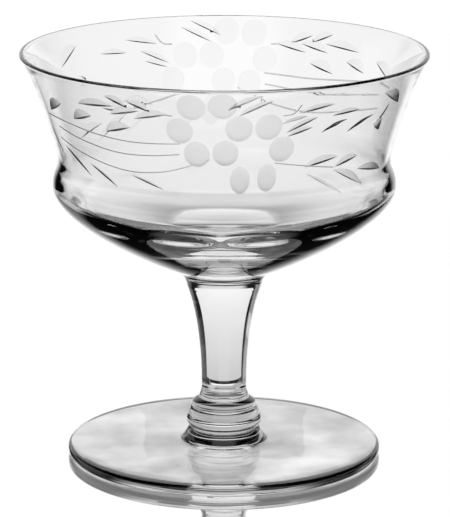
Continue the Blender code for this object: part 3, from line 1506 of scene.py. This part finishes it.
class StudioFinish(NodeKit):
    """The material of a thing of the studio, which isn't part of the glass."""

    def __init__(self, name: str) -> None:
        """Starts the material with no node in it.

        Args:
            name: The material's name.
        """
        self.material = bpy.data.materials.new(name)
        self.material.use_nodes = True
        super().__init__(self.material.node_tree)
        self.tree.nodes.clear()

    def dress(self, mesh: bpy.types.Mesh, surface: Socket) -> bpy.types.Object:
        """Ends the material and gives it to a mesh.

        Args:
            mesh: The mesh.
            surface: The material's shader.

        Returns:
            The mesh's object in the scene.
        """
        self.fill(self.add("ShaderNodeOutputMaterial"), Surface=surface)
        mesh.materials.append(self.material)
        return link(mesh.name, mesh)


@dataclass
class Floor:
    """A white, half-polished table top that mirrors the foot and keeps a faint shadow."""

    glow: float = 0.15
    mirror: Triple = (0.83, 0.83, 0.83)
    matt: Triple = (0.3, 0.3, 0.3)
    roughness: float = 0.03
    side: float = 6.0
    below: float = 0.4 * MM

    def build(self) -> bpy.types.Object:
        """Makes the table top and sets it out of the glass's own light.

        Returns:
            The floor.
        """
        half = self.side / 2
        corners = [(-half, -half, 0), (half, -half, 0), (half, half, 0), (-half, half, 0)]
        mesh = new_mesh("floor", corners, [(0, 1, 2, 3)])
        kit = StudioFinish("white_floor")
        surface = kit.made("ShaderNodeEmission", Strength=self.glow)
        gloss = kit.made("ShaderNodeBsdfGlossy", Color=(*self.mirror, 1.0), Roughness=self.roughness)
        for layer in (gloss, kit.made("ShaderNodeBsdfDiffuse", Color=(*self.matt, 1.0))):
            both = kit.add("ShaderNodeAddShader")
            kit.feed(both.inputs[0], surface)
            kit.feed(both.inputs[1], layer)
            surface = both.outputs[0]
        floor = kit.dress(mesh, surface)
        floor.location.z = -self.below
        floor.visible_transmission = False
        floor.visible_glossy = False
        return floor


def hide_from_view(obj: bpy.types.Object) -> None:
    """Leaves a thing of the studio to be seen through glass only.

    Args:
        obj: The card or spot.
    """
    obj.visible_camera = False
    obj.visible_diffuse = False
    obj.visible_glossy = False
    obj.visible_shadow = False


@dataclass
class Card:
    """A small card set up behind the glass, which keeps what is in front of it bright, or dark with no glow.

    Its heights are above the table, and its distances are from the axis, away from the camera. Its glow
    runs evenly from its lower edge to its higher one.
    """

    camera: PhotoCamera
    name: str = "white_card"
    high: float = 41.5 * MM
    high_distance: float = 13.0 * MM
    high_width: float = 6.0 * MM
    high_glow: float = 1.0
    low: float = 12.3 * MM
    low_distance: float = 20.0 * MM
    low_width: float = 23.4 * MM
    low_glow: float = 0.6

    def build(self) -> bpy.types.Object:
        """Makes the card, which only the light inside the glass can see.

        Returns:
            The card.
        """
        ahead, right = self.camera.heading()
        corners = []
        for height, distance, width in (
            (self.high, self.high_distance, self.high_width),
            (self.low, self.low_distance, self.low_width),
        ):
            middle = ahead * distance + Vector((0, 0, height))
            corners += [middle - right * width / 2, middle + right * width / 2]
        mesh = new_mesh(self.name, corners, [(0, 1, 3, 2)])
        kit = StudioFinish(self.name)
        glow = self.low_glow
        if self.high_glow != self.low_glow:
            height = kit.separate(kit.place())[2]
            glow = kit.spread(height, (self.low, self.high), (self.low_glow, self.high_glow))
        card = kit.dress(mesh, kit.made("ShaderNodeEmission", Strength=glow))
        hide_from_view(card)
        return card


@dataclass
class TableSpot:
    """The table under the foot as the glass sees it: white, with soft patches of light and shade.

    A slot behind the stem is left out, so that the bowl's base doesn't fill with light from below. Light
    that the glass has turned back lost_turns times or more doesn't see the spot.
    """

    camera: PhotoCamera
    inside: float = 5.8 * MM
    outside: float = 36.5 * MM
    below: float = 0.4 * MM
    dim: float = 0.35
    bright: float = 0.95
    patch_scale: float = 60.0
    patch_detail: float = 3.0
    patch_range: Place = (0.3, 0.7)
    shade: float = 0.85
    shade_radius: float = 16.0 * MM
    slot: float = 14.0 * MM
    slot_start: float = 18.0 * MM
    lost_turns: float = 3.0
    rings: int = 24
    steps: int = 180

    def mesh(self) -> bpy.types.Mesh:
        """Makes the ring without the slot.

        Returns:
            The mesh.
        """
        ahead, right = (np.array(way) for way in self.camera.heading())
        radii = np.linspace(self.inside, self.outside, self.rings + 1)
        points = ring_points(radii, np.full(len(radii), -self.below), self.steps).reshape(-1, 3)
        faces = ring_faces(ring_index(len(radii), self.steps))
        corner = points[faces[:, 0]]
        in_slot = (corner @ ahead > self.slot_start) & (np.abs(corner @ right) <= self.slot / 2)
        return new_mesh("table_spot", points.tolist(), faces[~in_slot].tolist())

    def build(self) -> bpy.types.Object:
        """Makes the spot, which only the light inside the glass can see.

        Returns:
            The spot.
        """
        kit = StudioFinish("table_under_glass")
        place = kit.place()
        patch = kit.noise(place, self.patch_scale, self.patch_detail)
        light = kit.spread(patch, self.patch_range, (self.dim, self.bright))
        reach = (self.inside, self.shade_radius)
        shadow = kit.spread(kit.vector("LENGTH", place), reach, (self.shade, 1.0))
        turned_back = kit.add("ShaderNodeLightPath").outputs["Glossy Depth"]
        straight = kit.math("LESS_THAN", turned_back, self.lost_turns)
        glow = kit.math("MULTIPLY", kit.math("MULTIPLY", light, shadow), straight)
        spot = kit.dress(self.mesh(), kit.made("ShaderNodeEmission", Strength=glow))
        hide_from_view(spot)
        return spot


def main() -> None:
    """Builds the glass, its table and its light."""
    logging.basicConfig(level=logging.INFO)
    scene = bpy.context.scene
    scene.view_settings.view_transform = "Standard"
    scene.cycles.max_bounces = MOST_BOUNCES
    scene.cycles.transmission_bounces = MOST_BOUNCES
    scene.cycles.glossy_bounces = MOST_REFLECTIONS
    camera = PhotoCamera()
    camera.build()
    Studio(camera).build()
    Floor().build()
    Card(camera).build()
    Card(
        camera,
        "black_card",
        high=20.0 * MM,
        high_distance=41.0 * MM,
        high_width=40.0 * MM,
        high_glow=0.0,
        low=3.5 * MM,
        low_distance=41.0 * MM,
        low_width=40.0 * MM,
        low_glow=0.0,
    ).build()
    TableSpot(camera).build()
    pieces = SherbetGlass().build()
    log.info("%d pieces of glass", len(pieces))


if __name__ == "__main__":
    main()
